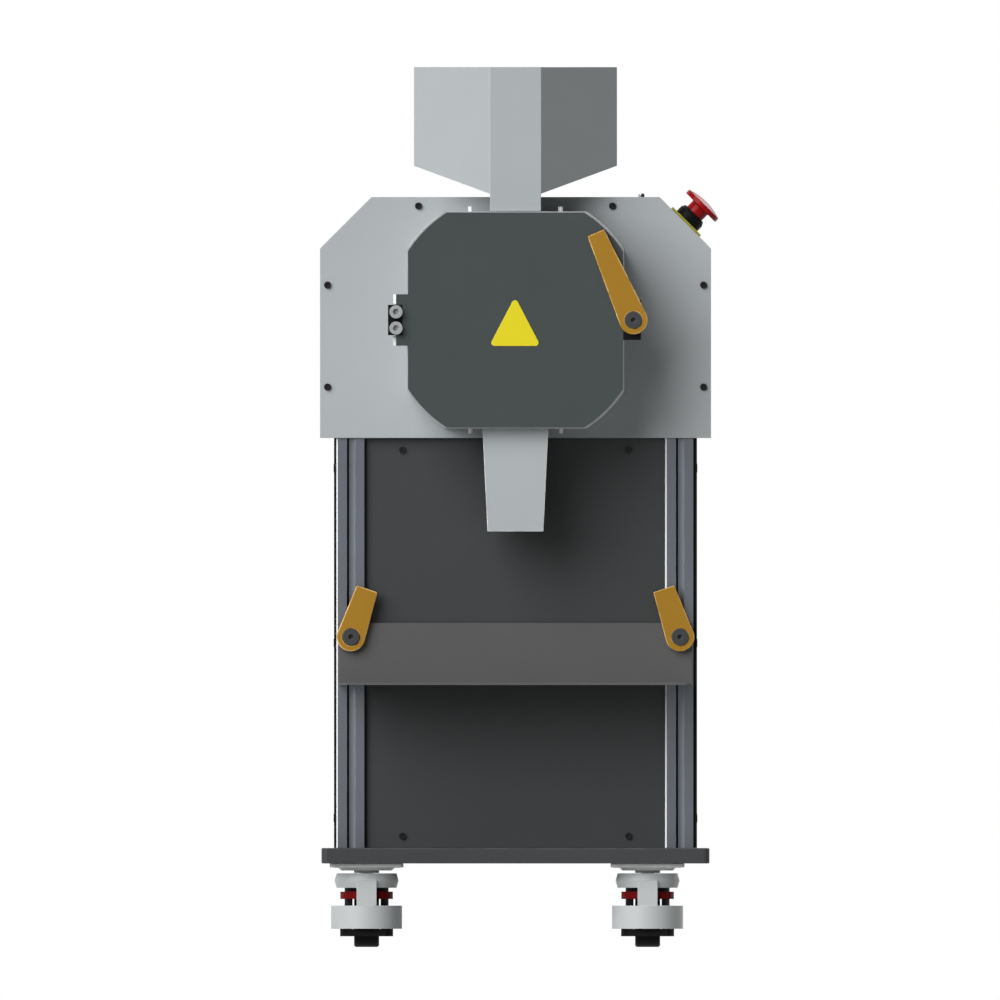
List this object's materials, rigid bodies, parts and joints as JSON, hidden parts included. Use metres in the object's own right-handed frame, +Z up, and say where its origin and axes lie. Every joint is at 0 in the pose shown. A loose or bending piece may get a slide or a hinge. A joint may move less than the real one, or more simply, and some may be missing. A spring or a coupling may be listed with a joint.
{
  "type": "plastic granulator",
  "caption": "Compact floor-standing granulator for sprues and scrap: flared hopper, hinged door over a knife rotor, discharge chute, clamped shelf and levelling casters.",
  "frame": {"origin": "on the floor, on the middle plane of the machine, halfway along the base plate", "axes": "+Z up, -Y towards the operator at the door, +X to the side of the emergency stop"},
  "size_m": [0.3987, 0.48, 0.88],
  "materials": {
    "dark_paint": "satin dark grey coating",
    "motor_paint": "satin grey coating",
    "grey_paint": "satin light grey coating",
    "anodised_aluminium": "grey anodised",
    "door_paint": "satin dark green-grey coating",
    "black_steel": "black oxide",
    "bright_steel": "machined",
    "tool_steel": "ground",
    "rotor_steel": "machined",
    "lever_paint": "satin ochre coating",
    "yellow_plastic": "matt",
    "red_plastic": "glossy",
    "black_plastic": "matt",
    "caster_grey": "satin light grey coating",
    "wheel_black": "matt",
    "foot_rubber": "matt"
  },
  "bodies": {
    "frame": {"base_plate": "dark_paint", "front_columns": "anodised_aluminium", "rear_columns": "anodised_aluminium", "cross_rails": "anodised_aluminium", "deck_plate": "grey_paint", "front_panel": "dark_paint", "side_panels": "dark_paint", "rear_lower_panel": "dark_paint", "front_plate": "grey_paint", "housing_shell": "grey_paint", "rear_panel": "grey_paint", "cutting_chamber": "bright_steel", "stator_knives": "tool_steel", "screen": "tool_steel", "hopper": "grey_paint", "chute": "grey_paint", "hinge_bracket": "bright_steel", "hinge_pin": "bright_steel", "latch_keeper": "black_steel", "bearings": "motor_paint", "drive_motor": "motor_paint", "plate_screws": "black_steel", "chamber_screws": "bright_steel", "estop_plate": "yellow_plastic", "estop_collar": "black_plastic", "switch_plate": "black_plastic", "cable_gland": "black_plastic", "caster_plates": "caster_grey"},
    "door": {"door": "door_paint", "hinge_knuckle": "black_steel", "hinge_screws": "bright_steel"},
    "latch": {"latch_lever": "lever_paint", "latch_stud": "dark_paint"},
    "rotor": {"rotor_shaft": "bright_steel", "rotor_core": "rotor_steel", "rotor_knives": "tool_steel"},
    "shelf": {"shelf": "dark_paint", "slot_nuts": "bright_steel"},
    "clamp_left": {"shelf_lever_left": "lever_paint", "shelf_stud_left": "dark_paint"},
    "clamp_right": {"shelf_lever_right": "lever_paint", "shelf_stud_right": "dark_paint"},
    "estop_head": {"estop_button": "red_plastic"},
    "main_switch": {"main_switch_knob": "red_plastic"},
    "fork_body_front_left": {"fork_front_left": "caster_grey"},
    "wheel_body_front_left": {"wheel_front_left": "wheel_black"},
    "foot_body_front_left": {"foot_front_left": "foot_rubber"},
    "thumbwheel_body_front_left": {"thumbwheel_front_left": "red_plastic"},
    "fork_body_front_right": {"fork_front_right": "caster_grey"},
    "wheel_body_front_right": {"wheel_front_right": "wheel_black"},
    "foot_body_front_right": {"foot_front_right": "foot_rubber"},
    "thumbwheel_body_front_right": {"thumbwheel_front_right": "red_plastic"},
    "fork_body_rear_left": {"fork_rear_left": "caster_grey"},
    "wheel_body_rear_left": {"wheel_rear_left": "wheel_black"},
    "foot_body_rear_left": {"foot_rear_left": "foot_rubber"},
    "thumbwheel_body_rear_left": {"thumbwheel_rear_left": "red_plastic"},
    "fork_body_rear_right": {"fork_rear_right": "caster_grey"},
    "wheel_body_rear_right": {"wheel_rear_right": "wheel_black"},
    "foot_body_rear_right": {"foot_rear_right": "foot_rubber"},
    "thumbwheel_body_rear_right": {"thumbwheel_rear_right": "red_plastic"}
  },
  "joints": [
    {"name": "door_hinge", "type": "hinge", "parent": "frame", "child": "door", "pos_m": [-0.1175, -0.19, 0.627], "axis": [0, 0, -1], "range_deg": [0, 110]},
    {"name": "latch_turn", "type": "hinge", "parent": "door", "child": "latch", "pos_m": [0.1179, -0.2153, 0.627], "axis": [0, 1, 0], "range_deg": [0, 110]},
    {"name": "rotor_spin", "type": "hinge", "parent": "frame", "child": "rotor", "pos_m": [0, -0.164, 0.627], "axis": [0, 1, 0], "continuous": true},
    {"name": "shelf_height", "type": "slide", "parent": "frame", "child": "shelf", "axis": [0, 0, 1], "range_m": [-0.15, 0.08]},
    {"name": "clamp_turn_left", "type": "hinge", "parent": "shelf", "child": "clamp_left", "pos_m": [-0.1645, -0.112, 0.31], "axis": [0, 1, 0], "range_deg": [0, 90]},
    {"name": "clamp_turn_right", "type": "hinge", "parent": "shelf", "child": "clamp_right", "pos_m": [0.1645, -0.112, 0.31], "axis": [0, -1, 0], "range_deg": [0, 90]},
    {"name": "estop_push", "type": "slide", "parent": "frame", "child": "estop_head", "axis": [-0.7071, 0, -0.7071], "range_m": [0, 0.005], "stiffness_N_per_m": 800},
    {"name": "main_switch_turn", "type": "hinge", "parent": "frame", "child": "main_switch", "pos_m": [0.12, 0.213, 0.659], "axis": [0, 1, 0], "range_deg": [0, 90]},
    {"name": "swivel_front_left", "type": "hinge", "parent": "frame", "child": "fork_body_front_left", "pos_m": [-0.1489, -0.19, 0.0665], "axis": [0, 0, 1], "continuous": true},
    {"name": "roll_front_left", "type": "hinge", "parent": "fork_body_front_left", "child": "wheel_body_front_left", "pos_m": [-0.1489, -0.1865, 0.025], "axis": [1, 0, 0], "continuous": true},
    {"name": "thumb_front_left", "type": "hinge", "parent": "fork_body_front_left", "child": "thumbwheel_body_front_left", "pos_m": [-0.1489, -0.19, 0.0517], "axis": [0, 0, 1], "range_deg": [0, 1800]},
    {"name": "level_front_left", "type": "slide", "parent": "fork_body_front_left", "child": "foot_body_front_left", "axis": [0, 0, -1], "range_m": [0, 0.0125]},
    {"name": "swivel_front_right", "type": "hinge", "parent": "frame", "child": "fork_body_front_right", "pos_m": [0.1321, -0.19, 0.0665], "axis": [0, 0, 1], "continuous": true},
    {"name": "roll_front_right", "type": "hinge", "parent": "fork_body_front_right", "child": "wheel_body_front_right", "pos_m": [0.1321, -0.1865, 0.025], "axis": [1, 0, 0], "continuous": true},
    {"name": "thumb_front_right", "type": "hinge", "parent": "fork_body_front_right", "child": "thumbwheel_body_front_right", "pos_m": [0.1321, -0.19, 0.0517], "axis": [0, 0, 1], "range_deg": [0, 1800]},
    {"name": "level_front_right", "type": "slide", "parent": "fork_body_front_right", "child": "foot_body_front_right", "axis": [0, 0, -1], "range_m": [0, 0.0125]},
    {"name": "swivel_rear_left", "type": "hinge", "parent": "frame", "child": "fork_body_rear_left", "pos_m": [-0.1489, 0.19, 0.0665], "axis": [0, 0, 1], "continuous": true},
    {"name": "roll_rear_left", "type": "hinge", "parent": "fork_body_rear_left", "child": "wheel_body_rear_left", "pos_m": [-0.1489, 0.1935, 0.025], "axis": [1, 0, 0], "continuous": true},
    {"name": "thumb_rear_left", "type": "hinge", "parent": "fork_body_rear_left", "child": "thumbwheel_body_rear_left", "pos_m": [-0.1489, 0.19, 0.0517], "axis": [0, 0, 1], "range_deg": [0, 1800]},
    {"name": "level_rear_left", "type": "slide", "parent": "fork_body_rear_left", "child": "foot_body_rear_left", "axis": [0, 0, -1], "range_m": [0, 0.0125]},
    {"name": "swivel_rear_right", "type": "hinge", "parent": "frame", "child": "fork_body_rear_right", "pos_m": [0.1321, 0.19, 0.0665], "axis": [0, 0, 1], "continuous": true},
    {"name": "roll_rear_right", "type": "hinge", "parent": "fork_body_rear_right", "child": "wheel_body_rear_right", "pos_m": [0.1321, 0.1935, 0.025], "axis": [1, 0, 0], "continuous": true},
    {"name": "thumb_rear_right", "type": "hinge", "parent": "fork_body_rear_right", "child": "thumbwheel_body_rear_right", "pos_m": [0.1321, 0.19, 0.0517], "axis": [0, 0, 1], "range_deg": [0, 1800]},
    {"name": "level_rear_right", "type": "slide", "parent": "fork_body_rear_right", "child": "foot_body_rear_right", "axis": [0, 0, -1], "range_m": [0, 0.0125]}
  ],
  "couplings": [
    {"joint": "level_front_left", "follows": "thumb_front_left", "m_per_rad": 0.00039788},
    {"joint": "level_front_right", "follows": "thumb_front_right", "m_per_rad": 0.00039788},
    {"joint": "level_rear_left", "follows": "thumb_rear_left", "m_per_rad": 0.00039788},
    {"joint": "level_rear_right", "follows": "thumb_rear_right", "m_per_rad": 0.00039788}
  ]
}
